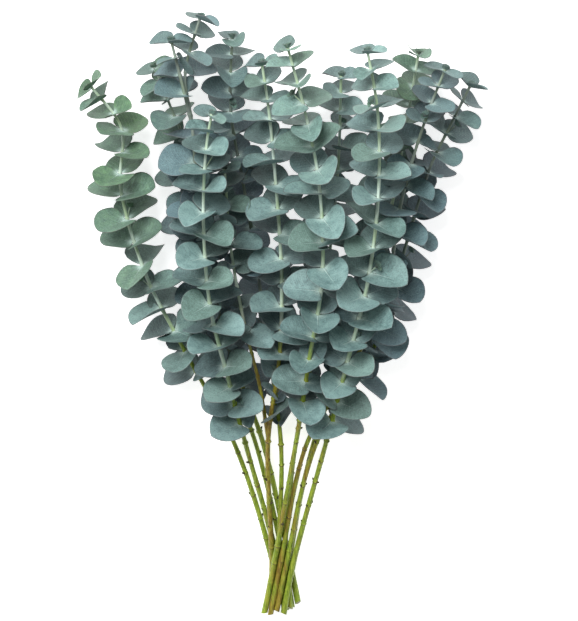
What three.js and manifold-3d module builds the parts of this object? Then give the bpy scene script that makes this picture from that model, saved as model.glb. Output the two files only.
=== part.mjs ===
// A gathered bunch of cut silver-leaved eucalyptus, lying on a flat surface.
// Millimetres. +Y runs from the cut ends to the tips, +X to the right, +Z up from the surface.
// Every sprig grew as one piece, so each is one solid: its stem, its side shoot and its paired leaves.

import * as THREE from 'three';
import { mergeVertices } from 'three/addons/utils/BufferGeometryUtils.js';
import Module from 'manifold-3d';

const wasm = await Module();
wasm.setup();

// ---------------------------------------------------------------- driving dimensions

const LEAF_LENGTH = 38; // a full-grown leaf, from the stem's axis to its tip
const TIP_LEAF_LENGTH = 20; // the smallest leaf, in the bud at a shoot's tip
const LEAF_GROWTH = 56; // distance from the tip over which leaves reach most of their size
const LEAF_BREADTH = 1.04; // width of a leaf over its length
const LEAF_BASE_SWELL = 0.12; // how much broader a leaf is towards its base
const LEAF_SIDES = 6; // corners of a leaf's rim
const LEAF_THICKNESS = 1.8; // at the middle of the blade; the rim is sharp
const INTERNODE = 27; // between leaf pairs on the grown stem
const TIP_INTERNODE = 16; // between leaf pairs in the bud
const INTERNODE_GROWTH = 80;
const FIRST_NODE = 2; // from the tip to its first leaf pair
const BARE_BELOW = 236; // leaves are stripped from the stems below this Y
const TIP_RADIUS = 1.0;
const STEM_SIDES = 5;
const STEM_RUNS = 3; // straight runs of a stem between two points of its route
const SIDE_SHOOT_SHARE = 0.62; // radius of a side shoot over that of its stem
const BEAD_SPACING = 6; // between the points of a stem that leaves are kept clear of
const LEAF_CLEARANCE = 2.4; // between the mid-planes of two sprigs' leaves
const OWN_CLEARANCE = 1.2; // the same, within one sprig
const STEM_CLEARANCE = 2.2; // between a leaf's mid-plane and another stem's surface
const FLOOR_CLEARANCE = 0.4;
const ORIGIN = [-1.7, 334.6, 0.46]; // the middle of the bunch's footprint, as the routes below measure it

// Leaves in opposite pairs, each pair turned a quarter turn from the last. A leaf that faces up leans
// back towards the cut end, one that faces the surface leans towards the tip. Radians.
const QUARTER_TURN = Math.PI / 2;
const LEAN_UP = -0.22;
const LEAN_SIDE = 0.16;
const LEAN_DOWN = 0.34;
const LEAN_SPREAD = 0.18;
const RISE_WITH_SLOPE = 1; // lean that an upper leaf gains where its stem climbs, as a share of the climb
const RISE_AT_TIP = 0.26; // lean that it gains at the tip
const RISE_REACH = 170;
const TURN_SPREAD = 0.3;
const ROLL_TO_TOP = 0.24;
const ROLL_SPREAD = 0.24;
const SIZE_SPREAD = 0.08;
const NEARLY_LEVEL = 0.12; // two leaves slanted less than this to each other count as parallel

// What a crowded leaf tries in turn: extra lean, extra turn about the stem, and share of its size.
const TRIES = [
  [0, 0, 1], [0.2, 0.15, 1], [-0.2, -0.15, 1], [0.35, -0.3, 1], [-0.35, 0.3, 1], [0.55, 0.2, 1],
  [0.1, 0.45, 0.9], [0.1, -0.45, 0.9], [0.75, 0, 0.9], [-0.5, 0, 0.9], [0.3, 0.5, 0.8],
  [0.3, -0.5, 0.8], [0.9, 0.25, 0.75], [0.9, -0.25, 0.75], [0.5, 0.8, 0.75], [0.5, -0.8, 0.75],
  [-0.3, 0.6, 0.7], [-0.3, -0.6, 0.7], [0, 0, 0.6], [0.8, 0.6, 0.6], [0.8, -0.6, 0.6], [0.2, 0, 0.45],
];

// Each sprig: its radius at the cut, how its leaf pairs start about the stem, and its route from the cut
// end, through the waist where all stems cross, up to its tip. The most prominent sprigs come first,
// because later leaves give way to earlier ones.
const SPRIGS = [
  { name: 'front_left_sprig', radius: 2.6, turn: 0.78, colour: 0x7f9f9b, bareBelow: 226,
    route: [[2.4, 0, 3.3], [-6.8, 60, 3.6], [-39, 206, 34], [-55, 289, 64], [-73, 384, 88],
      [-78, 482, 97], [-74, 553, 98], [-69, 583, 96]] },
  { name: 'front_right_sprig', radius: 2.6, turn: 0.86, colour: 0x84a5a0,
    route: [[-0.8, 1, 15.7], [9.4, 60, 16.1], [44, 219, 48], [64, 320, 80], [83, 413, 96],
      [92, 506, 98], [90, 587, 98], [80, 645, 94]] },
  { name: 'front_centre_sprig', radius: 2.6, turn: 0.3, colour: 0x7c9b97, bareBelow: 250,
    route: [[-21, 2, 15.7], [-10.6, 60, 16.1], [13, 221, 52], [25, 319, 82], [38, 416, 96],
      [34, 514, 98], [22, 579, 98], [4, 648, 92]] },
  { name: 'far_left_sprig', radius: 2.5, turn: 0.95, colour: 0x7c9d86, bareBelow: 285,
    route: [[-4, 3, 3.1], [-13, 60, 3.3], [-51, 198, 14], [-101, 312, 34], [-138, 397, 42],
      [-161, 489, 42], [-159, 551, 44], [-188, 595, 46]] },
  { name: 'far_right_sprig', radius: 2.4, turn: 0.7, colour: 0x728f8c, bareBelow: 270,
    route: [[-8, 4, 15.7], [2.4, 60, 16.1], [33, 202, 24], [94, 321, 34], [122, 427, 37],
      [144, 508, 40], [166, 559, 42], [182, 595, 44]] },
  { name: 'right_sprig', radius: 2.4, turn: 1.0, colour: 0x77948f, bareBelow: 262,
    route: [[-14.6, 0, 15.7], [-4, 60, 16.1], [23, 206, 34], [60, 284, 48], [99, 375, 60],
      [116, 484, 64], [137, 564, 64], [156, 617, 62]] },
  { name: 'left_forked_sprig', radius: 2.6, turn: 0.7, colour: 0x6f8c88,
    route: [[15.2, 6, 3.0], [5.6, 60, 3.3], [-21, 199, 18], [-58, 327, 48], [-81, 452, 64],
      [-89, 563, 66], [-95, 613, 64], [-80, 669, 62]],
    side: { turn: 1.1, route: [[-89, 563, 66], [-98, 606, 72], [-108, 649, 72]] } },
  { name: 'right_crown_sprig', radius: 2.4, turn: 0.0, colour: 0x6b8783,
    route: [[6.2, 3, 9.4], [6.4, 60, 9.7], [30, 198, 16], [69, 318, 26], [98, 416, 28],
      [115, 514, 30], [124, 575, 34], [131, 626, 40]] },
  { name: 'centre_forked_sprig', radius: 2.6, turn: 0.8, colour: 0x74928d, bareBelow: 216,
    route: [[-13.2, 1, 9.4], [-12.7, 60, 9.7], [-16, 215, 42], [-5, 307, 58], [-2, 399, 66],
      [-9, 518, 68], [-15, 582, 68], [-21, 623, 64]],
    side: { turn: 0.8, route: [[-16, 215, 42], [-24, 276, 50], [-40, 352, 56], [-52, 429, 60],
      [-58, 514, 58]] } },
  { name: 'left_back_sprig', radius: 2.4, turn: 1.2, colour: 0x65807c,
    route: [[8.8, 2, 3.0], [-0.6, 60, 3.3], [-29, 196, 10], [-68, 317, 24], [-84, 427, 28],
      [-94, 521, 30], [-111, 570, 34], [-126, 612, 38]] },
  { name: 'centre_back_sprig', radius: 2.3, turn: 0.3, colour: 0x607a77, bareBelow: 218,
    route: [[-6.8, 4, 9.4], [-6.3, 60, 9.7], [-3, 204, 30], [-17, 322, 36], [-30, 427, 34],
      [-41, 493, 30], [-52, 566, 32], [-50, 641, 36]] },
  { name: 'right_low_sprig', radius: 2.3, turn: 1.0, colour: 0x627d79,
    route: [[-0.2, 0, 9.4], [0, 60, 9.7], [12, 201, 22], [32, 319, 29], [46, 417, 30],
      [54, 514, 32], [56, 603, 38]] },
];

// ---------------------------------------------------------------- small maths

const UP = new THREE.Vector3(0, 0, 1);
const vector = (point) => new THREE.Vector3(...point);
const eased = (distance, reach) => 1 - Math.exp(-distance / reach);

// A repeatable number between 0 and 1 for two whole numbers.
function chance(a, b) {
  const x = Math.sin(a * 12.9898 + b * 78.233) * 43758.5453;
  return x - Math.floor(x);
}

// ---------------------------------------------------------------- stems

// Straight runs along the smooth curve through a route's points, read by length from the first point.
class Line {
  constructor(route) {
    const curve = new THREE.CatmullRomCurve3(route.map(vector));
    this.points = curve.getPoints((route.length - 1) * STEM_RUNS);
    this.along = [0];
    for (let i = 1; i < this.points.length; i += 1) {
      this.along.push(this.along[i - 1] + this.points[i].distanceTo(this.points[i - 1]));
    }
    this.length = this.along[this.along.length - 1];
  }

  run(distance) {
    let i = 1;
    while (i < this.points.length - 1 && this.along[i] < distance) i += 1;
    return i;
  }

  at(distance) {
    const i = this.run(distance);
    const share = (distance - this.along[i - 1]) / (this.along[i] - this.along[i - 1]);
    return this.points[i - 1].clone().lerp(this.points[i], share);
  }

  // The direction of growth, the direction across it that is nearest to level, and the one above it.
  frame(distance) {
    const i = this.run(distance);
    const growth = this.points[i].clone().sub(this.points[i - 1]).normalize();
    const across = growth.clone().cross(UP).normalize();
    return { growth, across, above: across.clone().cross(growth) };
  }
}

function stemRadius(shoot, distance) {
  return shoot.radius + (TIP_RADIUS - shoot.radius) * Math.pow(distance / shoot.line.length, 0.8);
}

// A closed tapering rod: a cylinder whose axis is bent along the shoot's line.
function stemGeometry(shoot) {
  const { line } = shoot;
  const runs = line.points.length - 1;
  const geometry = new THREE.CylinderGeometry(1, 1, 1, STEM_SIDES, runs);
  const position = geometry.attributes.position;
  for (let i = 0; i < position.count; i += 1) {
    const ring = Math.round((position.getY(i) + 0.5) * runs);
    const radius = stemRadius(shoot, line.along[ring]);
    const { across, above } = line.frame(line.along[ring]);
    const point = line.points[ring].clone()
      .addScaledVector(across, position.getX(i) * radius)
      .addScaledVector(above, position.getZ(i) * radius);
    position.setXYZ(i, point.x, point.y, point.z);
  }
  return geometry;
}

// ---------------------------------------------------------------- leaves

// One leaf as its place, its direction away from the stem, the side that faces the tip, and its size.
function leafAt(shoot, distance, turn, lean, roll, length) {
  const { growth, across, above } = shoot.line.frame(distance);
  const out = above.multiplyScalar(Math.cos(turn)).addScaledVector(across, Math.sin(turn));
  const direction = out.clone().multiplyScalar(Math.cos(lean)).addScaledVector(growth, Math.sin(lean));
  const flat = growth.clone().multiplyScalar(Math.cos(lean)).addScaledVector(out, -Math.sin(lean));
  const face = flat.applyAxisAngle(direction, roll);
  const base = shoot.line.at(distance);
  return {
    shoot, sprig: shoot.sprig, base, direction, face, length,
    centre: base.clone().addScaledVector(direction, length / 2),
    reach: (length / 2) * LEAF_BREADTH,
  };
}

// Whether two leaves, taken as flat discs, come within the clearance: both discs have to meet the line
// where their planes cross, over the same stretch of it.
function leavesMeet(a, b, clearance) {
  const apart = b.centre.clone().sub(a.centre);
  const span = a.reach + b.reach + clearance;
  if (apart.lengthSq() > span * span) return false;
  const crossing = a.face.clone().cross(b.face);
  const slant = crossing.length();
  const heightA = Math.abs(a.face.dot(apart));
  const heightB = Math.abs(b.face.dot(apart));
  if (slant < NEARLY_LEVEL) return Math.min(heightA, heightB) < clearance + NEARLY_LEVEL * span;
  crossing.divideScalar(slant);
  const margin = clearance / Math.max(slant, 0.35);
  const offA = heightB / slant;
  const offB = heightA / slant;
  if (offA > a.reach + margin || offB > b.reach + margin) return false;
  const halfA = Math.sqrt((a.reach + margin) ** 2 - offA ** 2);
  const halfB = Math.sqrt((b.reach + margin) ** 2 - offB ** 2);
  return Math.abs(crossing.dot(apart)) < halfA + halfB;
}

function leafMeetsStem(leaf, shoot) {
  if (shoot === leaf.shoot) return false;
  return shoot.beads.some(({ point, radius }) => {
    const away = point.clone().sub(leaf.centre);
    const height = leaf.face.dot(away);
    if (Math.abs(height) > radius + STEM_CLEARANCE) return false;
    const level = Math.sqrt(Math.max(0, away.lengthSq() - height * height));
    return level < leaf.reach + radius + 1;
  });
}

function leafFits(leaf, shoots, leaves) {
  const drop = leaf.reach * Math.sqrt(1 - leaf.face.z * leaf.face.z);
  if (leaf.centre.z - drop < FLOOR_CLEARANCE) return false;
  if (shoots.some((shoot) => leafMeetsStem(leaf, shoot))) return false;
  return !leaves.some((other) => {
    if (other.node === leaf.node) return false;
    return leavesMeet(leaf, other, other.sprig === leaf.sprig ? OWN_CLEARANCE : LEAF_CLEARANCE);
  });
}

// A closed blade with a sharp rim: a two-sided pyramid on the leaf's rounded outline.
function leafGeometry(leaf) {
  const geometry = new THREE.SphereGeometry(1, LEAF_SIDES, 2);
  const position = geometry.attributes.position;
  const side = leaf.direction.clone().cross(leaf.face);
  for (let i = 0; i < position.count; i += 1) {
    const along = position.getX(i);
    const breadth = position.getZ(i) * (1 - LEAF_BASE_SWELL * along) * LEAF_BREADTH;
    const point = leaf.base.clone()
      .addScaledVector(leaf.direction, (leaf.length * (along + 1)) / 2)
      .addScaledVector(side, (leaf.length * breadth) / 2)
      .addScaledVector(leaf.face, (position.getY(i) * LEAF_THICKNESS) / 2);
    position.setXYZ(i, point.x, point.y, point.z);
  }
  return geometry;
}

// ---------------------------------------------------------------- growth

function makeShoot(sprig, plan, radius, number) {
  const line = new Line(plan.route);
  const { turn } = plan;
  const bareBelow = sprig.bareBelow ?? BARE_BELOW;
  const shoot = { sprig: sprig.name, line, radius, turn, number, bareBelow, beads: [] };
  for (let distance = 0; distance < line.length; distance += BEAD_SPACING) {
    shoot.beads.push({ point: line.at(distance), radius: stemRadius(shoot, distance) });
  }
  return shoot;
}

// Leaf pairs from the tip down. A leaf that finds no room has been lost, as crowded leaves are.
function growLeaves(shoot, shoots, leaves) {
  let fromTip = FIRST_NODE;
  for (let k = 0; fromTip < shoot.line.length; k += 1) {
    const distance = shoot.line.length - fromTip;
    if (shoot.line.at(distance).y < shoot.bareBelow) return;
    const slope = shoot.line.frame(distance).growth.z;
    const rise = RISE_WITH_SLOPE * slope + RISE_AT_TIP * Math.exp(-fromTip / RISE_REACH);
    const fullLength = TIP_LEAF_LENGTH + (LEAF_LENGTH - TIP_LEAF_LENGTH) * eased(fromTip, LEAF_GROWTH);
    for (const half of [0, 1]) {
      const draw = (n) => 2 * chance(shoot.number * 100 + k, half * 10 + n) - 1;
      const turn = shoot.turn + k * QUARTER_TURN + half * Math.PI + TURN_SPREAD * draw(1);
      const facing = Math.cos(turn);
      const middle = facing > 0
        ? LEAN_SIDE + (LEAN_UP - LEAN_SIDE) * facing ** 3
        : LEAN_SIDE - (LEAN_DOWN - LEAN_SIDE) * facing;
      const lean = middle + rise * facing + LEAN_SPREAD * draw(2);
      const roll = ROLL_TO_TOP * Math.sin(turn) + ROLL_SPREAD * draw(3);
      const length = fullLength * (1 + SIZE_SPREAD * draw(4));
      for (const [moreLean, moreTurn, share] of TRIES) {
        const leaf = leafAt(shoot, distance, turn + moreTurn, lean + moreLean, roll, length * share);
        leaf.node = shoot.number * 100 + k;
        if (leafFits(leaf, shoots, leaves)) {
          leaves.push(leaf);
          break;
        }
      }
    }
    fromTip += TIP_INTERNODE + (INTERNODE - TIP_INTERNODE) * eased(fromTip, INTERNODE_GROWTH);
  }
}

// ---------------------------------------------------------------- solids

function solid(geometry) {
  geometry.deleteAttribute('normal');
  geometry.deleteAttribute('uv');
  const merged = mergeVertices(geometry, 1e-4);
  return new wasm.Manifold(new wasm.Mesh({
    numProp: 3,
    vertProperties: new Float32Array(merged.attributes.position.array),
    triVerts: new Uint32Array(merged.index.array),
  }));
}

function joined(geometries) {
  const whole = geometries.map(solid).reduce((body, piece) => body.add(piece));
  const { vertProperties, triVerts } = whole.getMesh();
  const geometry = new THREE.BufferGeometry();
  geometry.setAttribute('position', new THREE.BufferAttribute(vertProperties, 3));
  geometry.setIndex(new THREE.BufferAttribute(triVerts, 1));
  return geometry;
}

// ---------------------------------------------------------------- the bunch

const shoots = [];
for (const sprig of SPRIGS) {
  const main = makeShoot(sprig, sprig, sprig.radius, shoots.length);
  shoots.push(main);
  if (sprig.side) {
    const radius = main.radius * SIDE_SHOOT_SHARE;
    shoots.push(makeShoot(sprig, sprig.side, radius, shoots.length));
  }
}

const leaves = [];
for (const shoot of shoots) growLeaves(shoot, shoots, leaves);

const group = new THREE.Group();
group.position.set(-ORIGIN[0], -ORIGIN[1], -ORIGIN[2]);
for (const { name, colour } of SPRIGS) {
  const stems = shoots.filter((shoot) => shoot.sprig === name).map(stemGeometry);
  const blades = leaves.filter((leaf) => leaf.sprig === name).map(leafGeometry);
  const material = new THREE.MeshStandardMaterial({ color: colour, roughness: 0.7, metalness: 0 });
  const mesh = new THREE.Mesh(joined([...stems, ...blades]), material);
  mesh.name = name;
  group.add(mesh);
}

export default group;
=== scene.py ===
"""A gathered bunch of cut silver-leaved eucalyptus, lying on a pale floor.

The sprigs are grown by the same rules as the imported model, so every blade, stem and bud lies where the
frame has it. Growth is worked out in millimetres, and the meshes are made in metres."""

import functools
import math

import bpy
import numpy as np
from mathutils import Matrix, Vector


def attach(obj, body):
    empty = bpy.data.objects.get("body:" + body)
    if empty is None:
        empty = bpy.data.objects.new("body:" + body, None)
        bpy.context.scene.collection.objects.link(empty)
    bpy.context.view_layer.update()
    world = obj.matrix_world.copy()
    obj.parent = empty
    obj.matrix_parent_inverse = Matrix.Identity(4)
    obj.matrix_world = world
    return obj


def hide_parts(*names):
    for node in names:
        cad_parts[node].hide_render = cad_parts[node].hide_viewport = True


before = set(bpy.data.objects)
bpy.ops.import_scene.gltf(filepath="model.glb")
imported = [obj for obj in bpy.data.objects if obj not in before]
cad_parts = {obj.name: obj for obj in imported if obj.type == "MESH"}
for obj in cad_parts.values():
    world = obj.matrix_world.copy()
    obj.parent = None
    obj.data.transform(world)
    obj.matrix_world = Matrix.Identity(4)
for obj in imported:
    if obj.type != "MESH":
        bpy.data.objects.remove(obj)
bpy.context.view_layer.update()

bl_info = {
    "name": "Eucalyptus bunch",
    "version": (1, 0, 0),
    "blender": (4, 5, 0),
    "location": "View3D > Sidebar > Eucalyptus",
    "description": "Grows a gathered bunch of cut eucalyptus sprigs",
    "category": "Add Mesh",
}

# ---------------------------------------------------------------- growth, in millimetres

LEAF_LENGTH = 38.0
TIP_LEAF_LENGTH = 20.0
LEAF_GROWTH = 56.0
LEAF_BREADTH = 1.04
INTERNODE = 27.0
TIP_INTERNODE = 16.0
INTERNODE_GROWTH = 80.0
FIRST_NODE = 2.0
BARE_BELOW = 236.0
LEAST_BLUE = 0.15
TIP_RADIUS = 1.0
STEM_RUNS = 3
SIDE_SHOOT_SHARE = 0.62
BEAD_SPACING = 6.0
LEAF_CLEARANCE = 2.4
OWN_CLEARANCE = 1.2
STEM_CLEARANCE = 2.2
FLOOR_CLEARANCE = 0.4
ORIGIN = np.array([-1.7, 334.6, 0.46])

QUARTER_TURN = math.pi / 2
LEAN_UP = -0.22
LEAN_SIDE = 0.16
LEAN_DOWN = 0.34
LEAN_SPREAD = 0.18
RISE_WITH_SLOPE = 1
RISE_AT_TIP = 0.26
RISE_REACH = 170
TURN_SPREAD = 0.3
ROLL_TO_TOP = 0.24
ROLL_SPREAD = 0.24
SIZE_SPREAD = 0.08
NEARLY_LEVEL = 0.12
LEAST_SLANT = 0.35

# What a crowded leaf tries in turn: extra lean, extra turn about the stem, and share of its size.
TRIES = [
    (0, 0, 1), (0.2, 0.15, 1), (-0.2, -0.15, 1), (0.35, -0.3, 1), (-0.35, 0.3, 1), (0.55, 0.2, 1),
    (0.1, 0.45, 0.9), (0.1, -0.45, 0.9), (0.75, 0, 0.9), (-0.5, 0, 0.9), (0.3, 0.5, 0.8),
    (0.3, -0.5, 0.8), (0.9, 0.25, 0.75), (0.9, -0.25, 0.75), (0.5, 0.8, 0.75), (0.5, -0.8, 0.75),
    (-0.3, 0.6, 0.7), (-0.3, -0.6, 0.7), (0, 0, 0.6), (0.8, 0.6, 0.6), (0.8, -0.6, 0.6), (0.2, 0, 0.45),
]

# Each sprig's route runs from its cut end, through the waist, to its tip. green is how young and green
# its crown is, brown how woody its bare stem has become, and blue how slaty its leaves and upper stem are.
SPRIGS = [
    {"name": "front_left_sprig", "radius": 2.6, "turn": 0.78, "green": 0.1, "brown": 0.25,
     "bare_below": 226,
     "route": [(2.4, 0, 3.3), (-6.8, 60, 3.6), (-39, 206, 34), (-55, 289, 64), (-73, 384, 88),
               (-78, 482, 97), (-74, 553, 98), (-69, 583, 96)]},
    {"name": "front_right_sprig", "radius": 2.6, "turn": 0.86, "green": 0.25, "brown": 0.35,
     "route": [(-0.8, 1, 15.7), (9.4, 60, 16.1), (44, 219, 48), (64, 320, 80), (83, 413, 96),
               (92, 506, 98), (90, 587, 98), (80, 645, 94)]},
    {"name": "front_centre_sprig", "radius": 2.6, "turn": 0.3, "green": 0.45, "brown": 0.6,
     "bare_below": 250,
     "route": [(-21, 2, 15.7), (-10.6, 60, 16.1), (13, 221, 52), (25, 319, 82), (38, 416, 96),
               (34, 514, 98), (22, 579, 98), (4, 648, 92)]},
    {"name": "far_left_sprig", "radius": 2.5, "turn": 0.95, "green": 1.0, "brown": 0.1,
     "bare_below": 285,
     "route": [(-4, 3, 3.1), (-13, 60, 3.3), (-51, 198, 14), (-101, 312, 34), (-138, 397, 42),
               (-161, 489, 42), (-159, 551, 44), (-188, 595, 46)]},
    {"name": "far_right_sprig", "radius": 2.4, "turn": 0.7, "green": 0.3, "brown": 0.75, "blue": 0.9,
     "bare_below": 270,
     "route": [(-8, 4, 15.7), (2.4, 60, 16.1), (33, 202, 24), (94, 321, 34), (122, 427, 37),
               (144, 508, 40), (166, 559, 42), (182, 595, 44)]},
    {"name": "right_sprig", "radius": 2.4, "turn": 1.0, "green": 0.2, "brown": 0.9, "blue": 0.75,
     "bare_below": 262,
     "route": [(-14.6, 0, 15.7), (-4, 60, 16.1), (23, 206, 34), (60, 284, 48), (99, 375, 60),
               (116, 484, 64), (137, 564, 64), (156, 617, 62)]},
    {"name": "left_forked_sprig", "radius": 2.6, "turn": 0.7, "green": 0.3, "brown": 0.2, "blue": 0.8,
     "route": [(15.2, 6, 3.0), (5.6, 60, 3.3), (-21, 199, 18), (-58, 327, 48), (-81, 452, 64),
               (-89, 563, 66), (-95, 613, 64), (-80, 669, 62)],
     "side": {"turn": 1.1, "route": [(-89, 563, 66), (-98, 606, 72), (-108, 649, 72)]}},
    {"name": "right_crown_sprig", "radius": 2.4, "turn": 0.0, "green": 0.7, "brown": 0.5,
     "route": [(6.2, 3, 9.4), (6.4, 60, 9.7), (30, 198, 16), (69, 318, 26), (98, 416, 28),
               (115, 514, 30), (124, 575, 34), (131, 626, 40)]},
    {"name": "centre_forked_sprig", "radius": 2.6, "turn": 0.8, "green": 0.25, "brown": 1.0,
     "bare_below": 216,
     "route": [(-13.2, 1, 9.4), (-12.7, 60, 9.7), (-16, 215, 42), (-5, 307, 58), (-2, 399, 66),
               (-9, 518, 68), (-15, 582, 68), (-21, 623, 64)],
     "side": {"turn": 0.8, "route": [(-16, 215, 42), (-24, 276, 50), (-40, 352, 56),
                                     (-52, 429, 60), (-58, 514, 58)]}},
    {"name": "left_back_sprig", "radius": 2.4, "turn": 1.2, "green": 0.6, "brown": 0.15, "blue": 0.75,
     "route": [(8.8, 2, 3.0), (-0.6, 60, 3.3), (-29, 196, 10), (-68, 317, 24), (-84, 427, 28),
               (-94, 521, 30), (-111, 570, 34), (-126, 612, 38)]},
    {"name": "centre_back_sprig", "radius": 2.3, "turn": 0.3, "green": 0.35, "brown": 0.4, "blue": 0.9,
     "bare_below": 218,
     "route": [(-6.8, 4, 9.4), (-6.3, 60, 9.7), (-3, 204, 30), (-17, 322, 36), (-30, 427, 34),
               (-41, 493, 30), (-52, 566, 32), (-50, 641, 36)]},
    {"name": "right_low_sprig", "radius": 2.3, "turn": 1.0, "green": 0.2, "brown": 0.3,
     "route": [(-0.2, 0, 9.4), (0, 60, 9.7), (12, 201, 22), (32, 319, 29), (46, 417, 30),
               (54, 514, 32), (56, 603, 38)]},
]

UP = np.array([0.0, 0.0, 1.0])


def chance(a, b):
    """A repeatable number between 0 and 1 for two whole numbers."""
    x = math.sin(a * 12.9898 + b * 78.233) * 43758.5453
    return x - math.floor(x)


def spread(a, b):
    """A repeatable number between -1 and 1."""
    return 2 * chance(a, b) - 1


def eased(distance, reach):
    """0 at the start, rising towards 1 beyond reach."""
    return 1 - math.exp(-distance / reach)


def unit(v):
    return v / math.sqrt(v @ v)


def turned(v, axis, angle):
    """v turned about a unit axis by the right-hand rule."""
    c, s = math.cos(angle), math.sin(angle)
    return v * c + np.cross(axis, v) * s + axis * (axis @ v) * (1 - c)


class Route:
    """The smooth curve through a route's points, and the straight runs along it that leaves grow on."""

    def __init__(self, points):
        p = np.array(points, float)
        self.points = np.vstack([2 * p[0] - p[1], p, 2 * p[-1] - p[-2]])
        self.spans = len(points) - 1
        count = self.spans * STEM_RUNS
        self.runs = np.array([self.curve(i / STEM_RUNS) for i in range(count + 1)])
        steps = np.linalg.norm(np.diff(self.runs, axis=0), axis=1)
        self.along = np.concatenate([[0], np.cumsum(steps)])
        self.length = self.along[-1]

    def curve(self, place):
        """The point at a place counted in spans: a centripetal Catmull-Rom curve."""
        i = min(int(place), self.spans - 1)
        t = place - i
        a, b, c, d = self.points[i:i + 4]
        ab, bc, cd = (((q - p) @ (q - p)) ** 0.25 for p, q in ((a, b), (b, c), (c, d)))
        start = ((b - a) / ab - (c - a) / (ab + bc) + (c - b) / bc) * bc
        end = ((c - b) / bc - (d - b) / (bc + cd) + (d - c) / cd) * bc
        return (b + start * t + (3 * (c - b) - 2 * start - end) * t ** 2
                + (2 * (b - c) + start + end) * t ** 3)

    def run(self, distance):
        """The number of the straight run that holds a point this far up."""
        return min(max(int(np.searchsorted(self.along, distance)), 1), len(self.runs) - 1)

    def at(self, distance):
        """The point on the straight runs this far up."""
        i = self.run(distance)
        share = (distance - self.along[i - 1]) / (self.along[i] - self.along[i - 1])
        return self.runs[i - 1] + (self.runs[i] - self.runs[i - 1]) * share

    def frame(self, distance):
        """The direction of growth, and the two directions across it."""
        i = self.run(distance)
        growth = unit(self.runs[i] - self.runs[i - 1])
        across = unit(np.cross(growth, UP))
        return growth, across, np.cross(across, growth)

    def smooth(self, distance):
        """The point on the smooth curve beside a point on the straight runs."""
        i = self.run(distance)
        share = (distance - self.along[i - 1]) / (self.along[i] - self.along[i - 1])
        return self.curve(min((i - 1 + share) / STEM_RUNS, self.spans))


class Shoot:
    """One growing line of a sprig, with the leaf nodes found on it."""

    def __init__(self, sprig, plan, radius, number):
        self.sprig, self.green, self.brown = sprig["name"], sprig["green"], sprig["brown"]
        self.blue = sprig.get("blue", LEAST_BLUE)
        self.route, self.radius, self.turn, self.number = Route(plan["route"]), radius, plan["turn"], number
        self.bare_below = sprig.get("bare_below", BARE_BELOW)
        self.is_side = plan is not sprig
        self.nodes = []
        spots = np.arange(0, self.route.length, BEAD_SPACING)
        self.beads = np.array([self.route.at(d) for d in spots])
        self.bead_radii = np.array([self.radius_at(d) for d in spots])

    def radius_at(self, distance):
        share = min(max(distance / self.route.length, 0), 1)
        return self.radius + (TIP_RADIUS - self.radius) * share ** 0.8


class Leaf:
    """A round blade on a stem, turned about the stem, leant towards its tip and rolled about the midrib."""

    def __init__(self, shoot, distance, turn, lean, roll, length, node):
        growth, across, above = shoot.route.frame(distance)
        out = above * math.cos(turn) + across * math.sin(turn)
        self.direction = out * math.cos(lean) + growth * math.sin(lean)
        flat = growth * math.cos(lean) - out * math.sin(lean)
        self.face = turned(flat, self.direction, roll)
        self.base = shoot.route.at(distance)
        self.centre = self.base + self.direction * length / 2
        self.length, self.reach = length, length / 2 * LEAF_BREADTH
        self.shoot, self.distance, self.node = shoot, distance, node


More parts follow.
